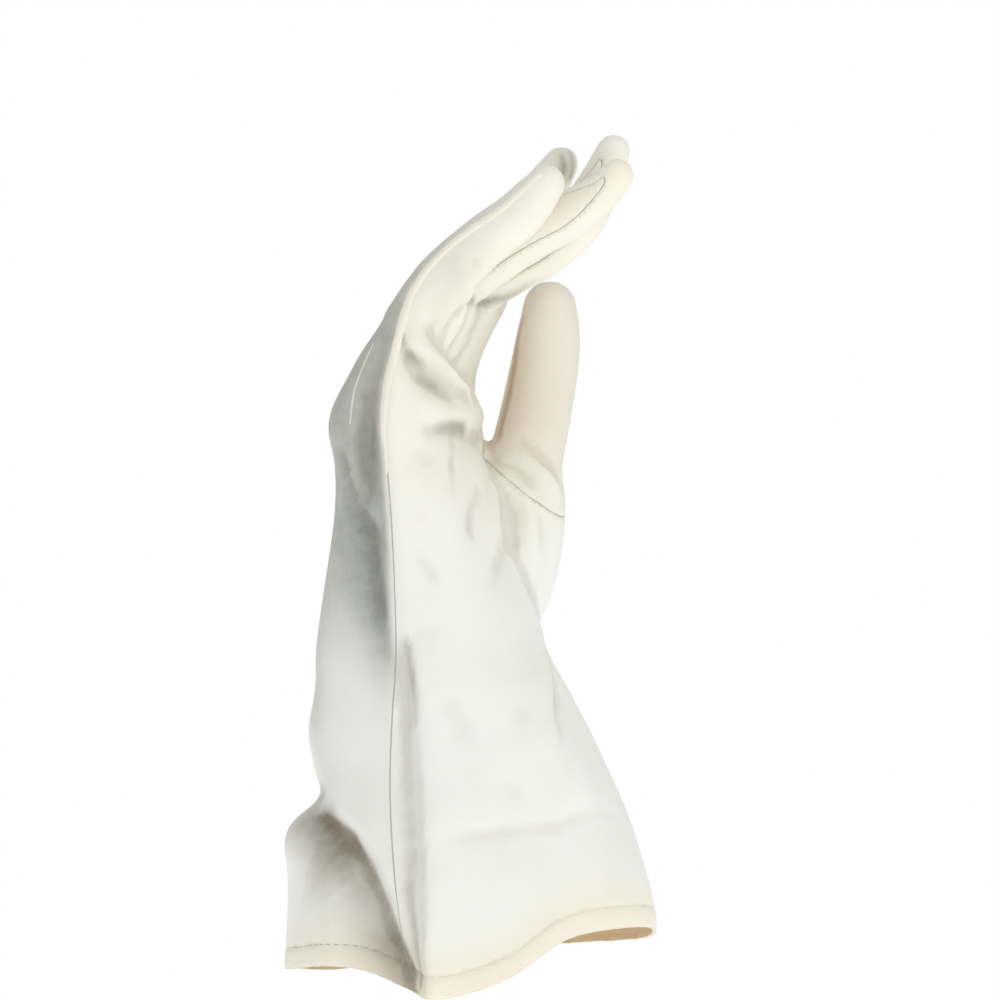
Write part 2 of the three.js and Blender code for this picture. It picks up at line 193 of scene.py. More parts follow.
def fingerFrame(rows, place):
    last = len(rows) - 1
    row = columnsAt(rows, place)
    ahead = columnsAt(rows, min(last, place + 0.01)) - columnsAt(rows, max(0, place - 0.01))
    along = Vector(ahead[:3]).normalized()
    return row, along, crossAxes(along)


def fingerRings(rows, widthShare):
    last = len(rows) - 1
    count, tips = skinSet["fingerRings"], skinSet["tipRings"]
    stations = [(last * i / (count - 1), 1.0, 0.0) for i in range(count)]
    for i in range(1, tips + 1):
        a = math.pi / 2 * i / tips
        stations.append((last, math.cos(a), rows[last][3] / 2 * math.sin(a)))
    angle = 2 * np.pi * np.arange(skinSet["fingerSides"]) / skinSet["fingerSides"]
    rings = []
    for place, scale, ahead in stations:
        row, along, (front, side) = fingerFrame(rows, place)
        u = row[3] / 2 * scale * np.cos(angle)
        v = row[4] / 2 * scale * widthShare * np.sin(angle)
        rings.append(row[:3] + np.outer(u, front) + np.outer(v, side) + np.array(along) * ahead)
    return rings


def addTube(bm, rings):  # a grid rolled up along rings of points, its ends closed
    sides, count = len(rings[0]), len(rings)
    made = bmesh.ops.create_grid(bm, x_segments=sides, y_segments=count - 1, size=0.5)["verts"]
    for v in made:
        i, j = round((v.co.x + 0.5) * sides), round((v.co.y + 0.5) * (count - 1))
        v.co = Vector(rings[j][i % sides]) * mm
    bmesh.ops.remove_doubles(bm, verts=made, dist=1e-6)
    bmesh.ops.holes_fill(bm, edges=[e for e in bm.edges if e.is_boundary], sides=0)


def addObject(name, mesh):
    obj = bpy.data.objects.new(name, mesh)
    scene.collection.objects.link(obj)
    return obj


def meshFrom(bm, name):
    mesh = bpy.data.meshes.new(name)
    bm.to_mesh(mesh)
    bm.free()
    return mesh


def applyModifiers(obj):
    deps = bpy.context.evaluated_depsgraph_get()
    mesh = bpy.data.meshes.new_from_object(obj.evaluated_get(deps))
    obj.modifiers.clear()
    obj.data = mesh


def evenOut(obj, voxel, turns):  # a fresh even mesh, then smoothing
    remesh = obj.modifiers.new("remesh", "REMESH")
    remesh.mode, remesh.voxel_size, remesh.use_smooth_shade = "VOXEL", voxel * mm, True
    smooth = obj.modifiers.new("smooth", "SMOOTH")
    smooth.factor, smooth.iterations = 0.5, turns
    applyModifiers(obj)


def makeSkin():  # one closed skin for the whole glove
    bm = bmesh.new()
    addTube(bm, bodyRings())
    for name, rows in fingerLines.items():
        addTube(bm, fingerRings(rows, 1.0 if name == "thumb" else skinSet["fingerWidth"]))
    bmesh.ops.recalc_face_normals(bm, faces=bm.faces[:])
    skin = addObject("skin", meshFrom(bm, "skin"))
    evenOut(skin, skinSet["firstVoxel"], skinSet["firstTurns"])
    return skin


skin = makeSkin()
print("skin", len(skin.data.vertices), "points")


# Folds of the leather, each along places in the picture. Height is above zero for a ridge and below for
# a hollow, square to the skin, or along the line of sight where "straight" is set. Reach is to the two
# sides of the run: to the right in the picture and then to the left for a run that goes down it. The
# shape there is soft where none is given.
foldSet = {"gain": 2, "margin": 3, "facing": (-0.1, 0.35), "crestPower": 1.25}
folds = [
    # the corner along the side seam
    {"straight": True,
     "path": [(404, 318), (396, 352), (388, 384), (384, 430), (388, 480), (392, 540),
              (395, 610), (395, 665)],
     "height": (0.6, 2, 3.4, 4.4, 4.4, 4, 2.4, 0.6), "reach": (12, 4)},
    {"straight": True,
     "path": [(390, 335), (379, 370), (370, 410), (366, 450), (369, 490), (375, 540),
              (381, 600), (383, 640)],
     "height": (-1, -3, -4, -4.4, -4.4, -4, -2, -0.5), "reach": (5, 4.5)},
    # cuff
    {"straight": True,
     "path": [(404, 640), (412, 664), (417, 700), (419, 735), (422, 780), (425, 830), (426, 885),
              (426, 950), (425, 994)],
     "height": (0.4, 3, 4, 4, 4, 4.6, 5, 4.4, 3), "reach": (13, 3.2)},
    {"straight": True, "path": [(399, 650), (405, 680), (409, 710), (410, 745), (409, 790)],
     "height": (-0.8, -2.4, -2.6, -1.6, -0.5), "reach": (2.4, 4)},
    {"straight": True, "path": [(405, 890), (411, 925), (417, 960), (420, 985)],
     "height": (-0.8, -2.6, -2.8, -1.4), "reach": (2.2, 4)},
    {"straight": True,
     "path": [(306, 811), (328, 819), (351, 838), (370, 868), (384, 902), (396, 937), (413, 980)],
     "height": (-2, -5, -8, -10.5, -12, -12.5, -12),
     "reach": ((2, 2.5, 3, 3, 3, 3, 3), (4, 9, 16, 22, 26, 30, 33)), "shape": ("soft", "ramp")},
    {"straight": True,
     "path": [(320, 797), (342, 804), (364, 828), (384, 861), (398, 897), (409, 932), (424, 975)],
     "height": (0.8, 1.4, 1.2, 1, 1, 1, 1), "reach": (9, 2.4)},
    {"path": [(540, 636), (544, 665), (548, 700), (551, 735), (552, 765)],
     "height": (0.7, 1.1, 1.2, 0.8, 0.1), "reach": (3, 10)},
    {"path": [(549, 650), (555, 690), (559, 720), (562, 750)],
     "height": (-0.5, -0.7, -0.5, -0.1), "reach": (8, 3)},
    {"path": [(447, 824), (480, 819), (506, 814), (552, 808), (603, 796)],
     "height": (0.1, 0.4, 0.5, 0.5, 0.2), "reach": (13, 5)},
    {"path": [(450, 840), (500, 834), (560, 828), (600, 815)],
     "height": (-0.4, -0.9, -0.9, -0.3), "reach": (5, 14)},
    {"path": [(435, 688), (448, 706), (462, 728), (476, 756)],
     "height": (-0.3, -0.7, -0.7, -0.2), "reach": (7, 8)},
    {"path": [(504, 728), (524, 718), (544, 706)],
     "height": (-0.3, -0.7, -0.7), "reach": (8, 8)},
    # palm and heel
    {"path": [(479, 492), (474, 509), (472, 527), (475, 545)],
     "height": (-0.4, -1, -1, -0.2), "reach": (3, 4)},
    {"path": [(521, 490), (517, 516), (510, 543), (500, 567), (486, 596)],
     "height": (-0.2, -0.7, -0.9, -0.8, -0.2), "reach": (3.4, 6)},
    {"path": [(497, 482), (494, 510), (490, 545)],
     "height": (0.5, 0.9, 0.3), "reach": (4, 4)},
    {"path": [(527, 497), (528, 525), (527, 560)],
     "height": (0.6, 0.9, 0.3), "reach": (4, 4)},
    {"path": [(487, 459), (499, 463), (513, 468), (524, 475), (531, 488), (538, 510),
              (543, 543), (542, 588)],
     "height": (-0.9, -1, -1, -1, -1, -0.8, -0.6, -0.1), "reach": (2.2, 2.6), "shape": ("crest", "soft")},
    {"path": [(500, 457), (520, 453), (534, 463), (548, 476), (557, 489)],
     "height": (0.4, 1.2, 1.5, 1.5, 1), "reach": (1.8, 4)},
    {"path": [(522, 446), (536, 456), (550, 469), (557, 480)],
     "height": (-0.6, -1, -1.2, -0.6), "reach": (4, 1.6)},
    {"path": [(430, 431), (440, 427), (452, 426), (463, 428)],
     "height": (-0.2, -0.8, -1.1, -1), "reach": (3.4, 2.6)},
    {"path": [(400, 456), (425, 459), (448, 459)],
     "height": (-0.1, -0.5, -0.2), "reach": (5, 4.5)},
    {"path": [(453, 440), (454, 465), (453, 492)],
     "height": (-0.4, -0.7, -0.2), "reach": (1.8, 2.5)},
    {"path": [(409, 500), (419, 516), (428, 534)],
     "height": (-0.2, -0.45, -0.2), "reach": (6, 6)},
    {"path": [(410, 545), (423, 560), (432, 574), (442, 594)],
     "height": (-0.2, -0.6, -0.6, -0.1), "reach": (4, 6)},
    # finger roots
    {"path": [(407, 330), (418, 343), (430, 355), (445, 372), (461, 390), (470, 401)],
     "height": (0.5, 2.2, 3.2, 3, 2.2, 0.5), "reach": (3.2, 3), "shape": ("crest", "crest")},
    {"path": [(419, 325), (432, 343), (447, 362), (462, 381)],
     "height": (-0.2, -0.6, -0.7, -0.2), "reach": (3, 2)},
    {"path": [(470, 298), (487, 300), (504, 297), (520, 289), (537, 279)],
     "height": (-0.4, -1.1, -1.1, -0.9, -0.3), "reach": (2, 3.2)},
    {"path": [(401, 342), (410, 358), (425, 376), (447, 393)],
     "height": (-0.6, -1.8, -1.8, -1), "reach": (3, 5)},
    {"path": [(472, 300), (471, 311), (468, 324), (460, 337), (453, 347), (446, 357)],
     "height": (-0.8, -1.2, -1.3, -1.3, -1, -0.4), "reach": (2, 2), "shape": ("crest", "crest")},
    {"path": [(467, 294), (463, 308), (457, 322), (450, 338), (444, 352)],
     "height": (0.8, 1.1, 1, 0.7, 0.3), "reach": (2.2, 2.2)},
    {"path": [(458, 312), (451, 324), (446, 336), (445, 348)],
     "height": (-0.6, -1, -1, -0.3), "reach": (1.8, 1.8), "shape": ("crest", "crest")},
    {"path": [(471, 342), (461, 358), (450, 366)],
     "height": (-0.8, -1.1, -0.5), "reach": (2, 2), "shape": ("crest", "crest")},
    {"path": [(477, 262), (483, 271)],
     "height": (-0.6, -0.6), "reach": (3.5, 3.5)},
    {"path": [(432, 310), (436, 328), (440, 342)],
     "height": (-0.6, -1, -0.5), "reach": (5, 5)},
    {"path": [(461, 266), (465, 281), (467, 292)],
     "height": (0.6, 1, 0.6), "reach": (3, 3)},
    # back
    {"path": [(349, 438), (356, 472), (366, 498), (379, 525)],
     "height": (1.1, 2.4, 2.2, 0.7), "reach": (3.5, 2.4)},
    {"path": [(344, 455), (351, 480), (359, 502), (373, 536)],
     "height": (-0.8, -1.6, -1.5, -0.5), "reach": (2.2, 3)},
    {"path": [(364, 400), (368, 425), (374, 448)],
     "height": (-1.2, -1.8, -1), "reach": (5, 6)},
]


def seenAt(co):  # where in the picture places on the skin are
    back, right, up = (np.array(axis) for axis in cameraAxes())
    off = co - np.array(cameraSet["target"])
    half = cameraSet["frame"] / 2
    pixels = cameraSet["frame"] * cameraSet["lens"] / cameraSet["sensor"]
    pixels = pixels / (cameraSet["distance"] - off @ back)
    return half + off @ right * pixels, half - off @ up * pixels


def hitSkin(tree, px, py):
    start, towards = sightLine(px, py)
    place, normal, face, far = tree.ray_cast(start, towards)
    return place, normal


def treeOf(mesh):
    return BVHTree.FromPolygons([v.co for v in mesh.vertices], [p.vertices for p in mesh.polygons])


def coordinatesOf(mesh, what="co"):
    flat = np.empty(len(mesh.vertices) * 3)
    mesh.vertices.foreach_get(what, flat)
    return flat.reshape(-1, 3) / (mm if what == "co" else 1)


def placeVertices(mesh, co):
    mesh.vertices.foreach_set("co", (co * mm).ravel())
    mesh.update()


def foldShape(kind, d):
    shapes = {"soft": np.exp(-d * d), "crest": np.exp(-d ** foldSet["crestPower"]),
              "ramp": np.clip(1 - d, 0, 1)}
    return np.select([kind == name for name in shapes], list(shapes.values()))


def pushOf(fold, tree, co, normals, gain=1):
    found = [hitSkin(tree, *p) for p in fold["path"]]
    kept = [k for k, f in enumerate(found) if f[0] is not None]
    if len(kept) < len(found):
        print("part of a fold misses the skin", fold["path"][0])
    path = np.array([found[k][0] for k in kept]) / mm
    pathNormals = np.array([found[k][1] for k in kept])
    heights = np.array(fold["height"], dtype=float)[kept] * gain
    reaches = [np.broadcast_to(np.array(r, dtype=float), len(found))[kept] for r in fold["reach"]]
    margin = foldSet["margin"] * max(r.max() for r in reaches)
    ids = np.nonzero(np.all((co > path.min(0) - margin) & (co < path.max(0) + margin), axis=1))[0]
    p, n = co[ids], normals[ids]
    best = np.full(len(ids), np.inf)
    side, height, first, second, facing = (np.zeros(len(ids)) for _ in range(5))
    for k in range(len(path) - 1):
        run = path[k + 1] - path[k]
        t = np.clip((p - path[k]) @ run / (run @ run), 0, 1)
        off = p - (path[k] + np.outer(t, run))
        far = np.linalg.norm(off, axis=1)
        near = far < best
        best[near] = far[near]
        side[near] = np.einsum("ij,ij->i", off, np.cross(n, run))[near]
        for values, row in ((height, heights), (first, reaches[0]), (second, reaches[1])):
            values[near] = (row[k] + (row[k + 1] - row[k]) * t)[near]
        facing[near] = (n @ (pathNormals[k] + pathNormals[k + 1]) / 2)[near]
    onFirst = side > 0
    kind = np.where(onFirst, *fold.get("shape", ("soft", "soft")))
    shape = foldShape(kind, best / np.where(onFirst, first, second))
    push = np.zeros(len(co))
    push[ids] = height * shape * smoothStep(facing, *foldSet["facing"])
    return push


def foldSkin(obj):
    tree, smooth, normals = treeOf(obj.data), coordinatesOf(obj.data), coordinatesOf(obj.data, "normal")
    folded = smooth.copy()
    sight = np.array(cameraAxes()[0])
    for fold in folds:
        straight = fold.get("straight")
        push = pushOf(fold, tree, smooth, normals, 1 if straight else foldSet["gain"])
        folded += push[:, None] * (sight if straight else normals)
    placeVertices(obj.data, folded)
    evenOut(obj, skinSet["lastVoxel"], skinSet["lastTurns"])


foldSkin(skin)
print("folds", len(folds))


# Cuff edge, thumb and forks: each is cut along a line where a field of the place is zero
cutSet = {"hemCentre": (12, 0), "hemHalf": (65.5, 61), "hemBand": 7.5, "cuffTop": -60,
          "thumbCorner": (28, 20, 70), "thumbSlope": 38, "thumbMargin": 3, "thumbTip": 11, "thumbBack": -8,
          "forkRoot": 1, "forkEnd": 0.93, "forkBack": -6.4, "forkPalm": 5.2, "forkPoint": 24, "forkFade": 8,
          "forkSide": 1, "forkMargin": 1.5, "forkAbove": 112,
          "crotchDown": 7, "crotchUp": 12, "crotchHalf": 4.8, "crotchSide": 5, "crotchBack": 2,
          "outside": -20, "snap": 0.25}


def fingerCoordinates(co, rows):  # distance along, to the palm side and to the thumb side, and radius
    last, count = len(rows) - 1, skinSet["fingerRings"] + 20
    frames = [fingerFrame(rows, last * i / (count - 1)) for i in range(count)]
    centres = np.array([f[0][:3] for f in frames])
    lengths = np.concatenate([[0], np.cumsum(np.linalg.norm(np.diff(centres, axis=0), axis=1))])
    k = np.array([np.argmin(((centres - p) ** 2).sum(1)) for p in co])
    off = co - centres[k]
    along = lengths[k] + np.einsum("ij,ij->i", off, np.array([f[1] for f in frames])[k])
    u = np.einsum("ij,ij->i", off, np.array([f[2][0] for f in frames])[k])
    v = np.einsum("ij,ij->i", off, np.array([f[2][1] for f in frames])[k])
    radius = np.array([max(f[0][3], f[0][4]) / 2 for f in frames])[k]
    return along, u, v, radius, lengths


def lengthAt(rows, lengths, place):
    return np.interp(place / (len(rows) - 1), np.linspace(0, 1, len(lengths)), lengths)


def forkField(co, first, second):
    field = np.full(len(co), float(cutSet["outside"]))
    near = np.nonzero(co[:, 2] > cutSet["forkAbove"])[0]
    p = co[near]
    best = field[near]
    for name, direction in ((first, 1), (second, -1)):
        rows = fingerLines[name]
        along, u, v, radius, lengths = fingerCoordinates(p, rows)
        start = lengthAt(rows, lengths, cutSet["forkRoot"])
        end = lengthAt(rows, lengths, cutSet["forkEnd"] * (len(rows) - 1))
        close = radius + cutSet["forkMargin"] - np.hypot(u, v)
        taper = smoothStep(along, end - cutSet["forkPoint"], end + cutSet["forkFade"])
        middle = (cutSet["forkPalm"] + cutSet["forkBack"]) / 2
        half = (cutSet["forkPalm"] - cutSet["forkBack"]) / 2 * (1 - taper)
        strip = np.minimum.reduce([half - np.abs(u - middle), v * direction - cutSet["forkSide"],
                                   along - start, end - along, close])
        best = np.maximum(best, strip)
    a, b = fingerFrame(fingerLines[first], 1), fingerFrame(fingerLines[second], 1)
    along = (a[1] + b[1]).normalized()
    front, side = crossAxes(along)
    off = p - (a[0][:3] + b[0][:3]) / 2
    ahead, u, v = off @ np.array(along), off @ np.array(front), off @ np.array(side)
    crotch = np.minimum.reduce([cutSet["crotchHalf"] - np.abs(u + cutSet["crotchBack"]),
                                cutSet["crotchSide"] - np.abs(v),
                                ahead + cutSet["crotchDown"], cutSet["crotchUp"] - ahead])
    field[near] = np.maximum(best, crotch)
    return field


def thumbField(co):
    turn = np.array(Matrix.Rotation(math.radians(cutSet["thumbSlope"]), 3, "Y"))
    inBlock = (co - np.array(cutSet["thumbCorner"])) @ turn
    along, u, v, radius, lengths = fingerCoordinates(co, fingerLines["thumb"])
    close = radius + cutSet["thumbMargin"] - np.hypot(u, v)
    beforeTip = lengths[-1] + cutSet["thumbTip"] - along
    inThumb = np.minimum.reduce([inBlock[:, 1], inBlock[:, 2], close, beforeTip])
    return np.where(co[:, 0] > cutSet["thumbBack"], inThumb, cutSet["outside"])


def hemField(co):
    angle = np.degrees(np.arctan2((co[:, 1] - cutSet["hemCentre"][1]) / cutSet["hemHalf"][1],
                                  (co[:, 0] - cutSet["hemCentre"][0]) / cutSet["hemHalf"][0]))
    return co[:, 2] - hemAt(angle)


def bmCoordinates(bm):
    return np.array([v.co for v in bm.verts]) / mm


def cutAlong(bm, fieldOf, level=0):  # cuts the faces along the line, and gives each vertex its value
    bm.verts.ensure_lookup_table()
    field = fieldOf(bmCoordinates(bm)) - level
    value = {v: field[v.index] for v in bm.verts}
    line = {}
    for e in list(bm.edges):
        a, b = e.verts
        if value[a] * value[b] >= 0:
            continue
        t = value[a] / (value[a] - value[b])
        if t < cutSet["snap"] or t > 1 - cutSet["snap"]:
            moved, other, share = (a, b, t) if t < 0.5 else (b, a, 1 - t)
            moved.co = moved.co.lerp(other.co, share)
            value[moved] = 0
            line[moved] = True
    for e in list(bm.edges):
        a, b = e.verts
        if value[a] * value[b] < 0:
            edge, made = bmesh.utils.edge_split(e, a, value[a] / (value[a] - value[b]))
            value[made] = 0
            line[made] = True
    bmesh.ops.connect_verts(bm, verts=list(line))
    bm.verts.index_update()
    return value


def faceSide(face, value):
    return sum(value[v] for v in face.verts)


pieces = {"trank": 0, "thumb": 1, "fork_little_ring": 2, "fork_ring_middle": 3, "fork_middle_index": 4}
cuts = {"thumb": thumbField,
        "fork_little_ring": lambda co: forkField(co, "little", "ring"),
        "fork_ring_middle": lambda co: forkField(co, "ring", "middle"),
        "fork_middle_index": lambda co: forkField(co, "middle", "index")}
glove = bmesh.new()
glove.from_mesh(skin.data)
share = glove.faces.layers.int.new("share")
value = cutAlong(glove, hemField)
bmesh.ops.delete(glove, geom=[f for f in glove.faces if faceSide(f, value) < 0], context="FACES")
bmesh.ops.delete(glove, geom=[v for v in glove.verts if not v.link_faces], context="VERTS")
cutAlong(glove, hemField, cutSet["hemBand"])
for name, fieldOf in cuts.items():
    value = cutAlong(glove, fieldOf)
    for f in glove.faces:
        if f[share] == 0 and faceSide(f, value) > 0:
            f[share] = pieces[name]
print("cut", len(glove.faces), "faces")

# Seams: the leather dips at each one and at the stitched line above the cuff edge, and swells between
# that line and the edge
seamSet = {"groove": 0.3, "gap": 0.07, "hemDip": 0.35, "hemSwell": 0.25, "onLine": 0.05, "swell": (0.8, 6.5),
           "shortest": 6}
glove.normal_update()
seamEdges = [e for e in glove.edges if len({f[share] for f in e.link_faces}) > 1]
dips = [(v, v.normal * seamSet["groove"] * mm) for v in {v for e in seamEdges for v in e.verts}]
field = hemField(bmCoordinates(glove))
for v in glove.verts:
    if v.co.z > cutSet["cuffTop"] * mm:
        continue
    if abs(field[v.index] - cutSet["hemBand"]) < seamSet["onLine"]:
        dips.append((v, v.normal * seamSet["hemDip"] * mm))
    elif seamSet["swell"][0] < field[v.index] < seamSet["swell"][1]:
        dips.append((v, v.normal * -seamSet["hemSwell"] * mm))
for v, dip in dips:
    v.co -= dip
glove.normal_update()
gloveTree = BVHTree.FromBMesh(glove)


def curvature(mesh):  # above zero in a hollow, for painted shade in the creases
    co, normals = coordinatesOf(mesh), coordinatesOf(mesh, "normal")
    ends = np.empty(len(mesh.edges) * 2, dtype=int)
    mesh.edges.foreach_get("vertices", ends)
    one, other = ends.reshape(-1, 2).T
    both, across = np.concatenate([one, other]), np.concatenate([other, one])
    count = np.bincount(both, minlength=len(co))

    def around(values):
        return np.bincount(both, weights=values[across], minlength=len(co)) / count

    bend = sum((around(co[:, k]) - co[:, k]) * normals[:, k] for k in range(3))
    for turn in range(4):
        bend = (bend + around(bend)) / 2
    return bend


# The seam on the little-finger side: raised from the fingertip to the knuckles, then a thin grey line that
# paints the shadow in the seam's gap
sideSeam = {"raised": [(542, 173, 2.0, 0.45), (533, 180, 2.6, 0.7), (518, 194, 2.8, 0.8), (497, 212, 3, 0.9),
                       (473, 228, 3.1, 1), (451, 245, 3.1, 1), (430, 266, 3.2, 1), (413, 291, 3.3, 1.05),
                       (403, 319, 3.3, 1.1), (395, 352, 3.3, 1.1), (388, 379, 3.2, 1.1), (384, 408, 3, 1),
                       (383, 432, 2.4, 0.8), (385, 452, 1.6, 0.5), (387, 475, 1, 0.3)],
            "line": [(383, 428, 0.5, 0.16), (386, 455, 0.5, 0.2), (390, 500, 0.5, 0.2), (393, 550, 0.5, 0.2),
                     (395, 600, 0.5, 0.2), (396, 645, 0.5, 0.2), (395, 675, 0.5, 0.2), (392, 720, 0.5, 0.2),
                     (390, 778, 0.5, 0.2), (391, 824, 0.5, 0.2), (394, 870, 0.5, 0.2), (397, 899, 0.5, 0.2),
                     (402, 934, 0.5, 0.2), (408, 961, 0.5, 0.2), (415, 978, 0.5, 0.2)]}

# Colours painted on the leather through places in the picture as the folds are. The brown layer is painted
# shade in the creases, hollows and gaps between the fingers, a painted shadow in the cuff hollow, and a brown
# stain and dark line along the thumb's edge; the grey-green layer is painted shade on the back of the hand,
# beside the side seam and down the wrist's left edge; and warm is yellowed leather. A pair of numbers is
# where one fades, along y for the two sides, by height above the cuff edge for the hem and up z for the rest.
paint = {
    "creaseShade": 4, "creaseMost": 0.22,
    "backShade": 0.7, "hiddenShare": 0.3, "nearSide": (-4, 20), "besideSeam": (0, 9), "shadeFrom": (-10, 60),
    "nearShadeTo": (120, 190), "hiddenShadeTo": (95, 140), "thumbSide": (18, 40), "thumbSideLess": 0.8,
    "hemWarmth": 0.75, "hemFade": (4.5, 21.5), "fingerWarmth": 0.42, "fingers": (20, 130),
    "thumbRoot": (60, 95),
    # painted shade in creases, under folds and between the fingers, the cuff hollow's painted shadow, and the
    # thumb's edge stain
    "shadeAndStain": [
        {"path": [(527, 314), (522, 335), (518, 360), (513, 390), (506, 420), (501, 438)],
         "height": (0.12, 0.25, 0.32, 0.34, 0.32, 0.22), "reach": (7, 4)},
        {"path": [(523, 318), (519, 335), (515.5, 360), (510.5, 390), (503.5, 420), (499, 438)],
         "height": (0.3, 0.6, 0.7, 0.7, 0.7, 0.5), "reach": (1.2, 2.5)},
        {"path": [(306, 813), (331, 821), (354, 841), (373, 871), (387, 904), (399, 939), (416, 982)],
         "height": (0.45, 0.9, 1, 0.6, 0.5, 0.7, 0.55),
         "reach": ((6, 5, 3.5, 2, 2, 2, 2), (12, 16, 20, 18, 16, 13, 11))},
        {"path": [(408, 645), (413, 680), (416, 720)],
         "height": (0.45, 0.6, 0.25), "reach": (1.4, 3)},
        {"path": [(411, 880), (416, 930), (421, 985)],
         "height": (0.15, 0.4, 0.4), "reach": (1.4, 5)},
        {"path": [(418, 735), (423, 790), (425, 850), (426, 920), (426, 985)],
         "height": (0.1, 0.16, 0.2, 0.22, 0.2), "reach": (0.8, 7)},
        {"path": [(566, 150), (568, 165), (566, 180)],
         "height": (0.2, 0.3, 0.3), "reach": (4, 5)},
        {"path": [(561, 155), (564, 165), (563, 174)],
         "height": (0.3, 0.5, 0.5), "reach": (1.3, 1.3)},
        {"path": [(571, 154), (573, 166), (570, 178)],
         "height": (0.35, 0.55, 0.5), "reach": (1.8, 1.4)},
        {"path": [(436, 430), (450, 427), (462, 429)],
         "height": (0.15, 0.45, 0.5), "reach": (2.5, 2.5)},
        {"path": [(478, 252), (458, 278), (442, 303), (433, 325)],
         "height": (0.1, 0.14, 0.14, 0.08), "reach": (6, 6)},
        {"path": [(471, 299), (487, 301), (504, 298), (520, 290), (536, 280)],
         "height": (0.4, 0.65, 0.6, 0.4, 0.1), "reach": (1.2, 2.8)},
        {"path": [(478, 312), (472, 330), (462, 346)],
         "height": (0.28, 0.26, 0.1), "reach": (4, 4)},
        {"path": [(403, 338), (412, 354), (424, 368)],
         "height": (0.55, 0.55, 0.15), "reach": (1.4, 4)},
        {"path": [(418, 377), (430, 384), (446, 393)],
         "height": (0.25, 0.4, 0.15), "reach": (2, 3)},
    ],
    # painted shade beside the side seam and down the wrist's left edge
    "paintedShade": [
        {"path": [(370, 440), (372, 480), (376, 540), (383, 600), (389, 650), (391, 700)],
         "height": (0, 0.1, 0.3, 0.6, 0.5, 0.15), "reach": (2.4, 10)},
        {"path": [(322, 610), (317, 650), (316, 700), (318, 750), (326, 785)],
         "height": (0.05, 0.2, 0.26, 0.2, 0.1), "reach": (9, 6)},
    ],
    "warm": [
        {"path": [(500, 462), (515, 470), (530, 492), (538, 520)],
         "height": (0.5, 0.5, 0.4, 0.1), "reach": (7, 7)},
        {"path": [(625, 175), (612, 200), (600, 222)],
         "height": (0.5, 0.3, 0.2), "reach": (5, 5)},
    ]}


def addAttribute(mesh, name, values):
    layer = mesh.attributes.new(name, "FLOAT", "POINT")
    layer.data.foreach_set("value", np.clip(values, 0, 1).astype(np.float32))


def paintPiece(obj):
    mesh = obj.data
    co, normals = coordinatesOf(mesh), coordinatesOf(mesh, "normal")
    y, z = co[:, 1], co[:, 2]
    px, py = seenAt(co)
    seam = np.array(sideSeam["raised"] + sideSeam["line"])
    strokes = {kind: sum(pushOf(stroke, gloveTree, co, normals) for stroke in paint[kind])
               for kind in ("shadeAndStain", "paintedShade", "warm")}
    # painted shade on the back of the hand below the finger roots, fainter on the side the camera doesn't see
    near = smoothStep(-y, *paint["nearSide"])
    left = smoothStep(np.interp(py, seam[:, 1], seam[:, 0]) - px, *paint["besideSeam"])
    backwards = smoothStep(-normals[:, 0], 0, 0.45)
    across = near * left * (1 - smoothStep(z, *paint["nearShadeTo"]))
    across += paint["hiddenShare"] * (1 - near) * backwards * (1 - smoothStep(z, *paint["hiddenShadeTo"]))
    across *= 1 - paint["thumbSideLess"] * smoothStep(y, *paint["thumbSide"])
    paintedShade = paint["backShade"] * across * smoothStep(z, *paint["shadeFrom"]) + strokes["paintedShade"]
    addAttribute(mesh, "paintedShade", paintedShade * obj.name.startswith("trank"))
    # painted shade in the hollows, deepest where the skin bends in most
    creases = np.clip(curvature(mesh) * paint["creaseShade"], 0, paint["creaseMost"])
    addAttribute(mesh, "shadeAndStain", creases + strokes["shadeAndStain"])
    hem = np.where(z < cutSet["cuffTop"], 1 - smoothStep(hemField(co), *paint["hemFade"]), 0)
    warm = hem * paint["hemWarmth"] + strokes["warm"]
    warm += paint["fingerWarmth"] * smoothStep(z, *paint["fingers"])
    if obj.name.startswith("thumb"):
        warm += 1 - smoothStep(z, *paint["thumbRoot"])
    addAttribute(mesh, "warm", warm)


def shareOf(bm, number):
    part = bm.copy()
    layer = part.faces.layers.int["share"]
    bmesh.ops.delete(part, geom=[f for f in part.faces if f[layer] != number], context="FACES")
    bmesh.ops.delete(part, geom=[v for v in part.verts if not v.link_faces], context="VERTS")
    return part


def drawIn(part):  # leaves a narrow gap along the seams
    moves = []
    for v in part.verts:
        if v.is_boundary and v.co.z > cutSet["cuffTop"] * mm:
            inner = [e.other_vert(v).co for e in v.link_edges if not e.is_boundary]
            if inner:
                away = sum(inner, Vector()) / len(inner) - v.co
                moves.append((v, away.normalized() * seamSet["gap"] * mm))
    for v, move in moves:
        v.co += move


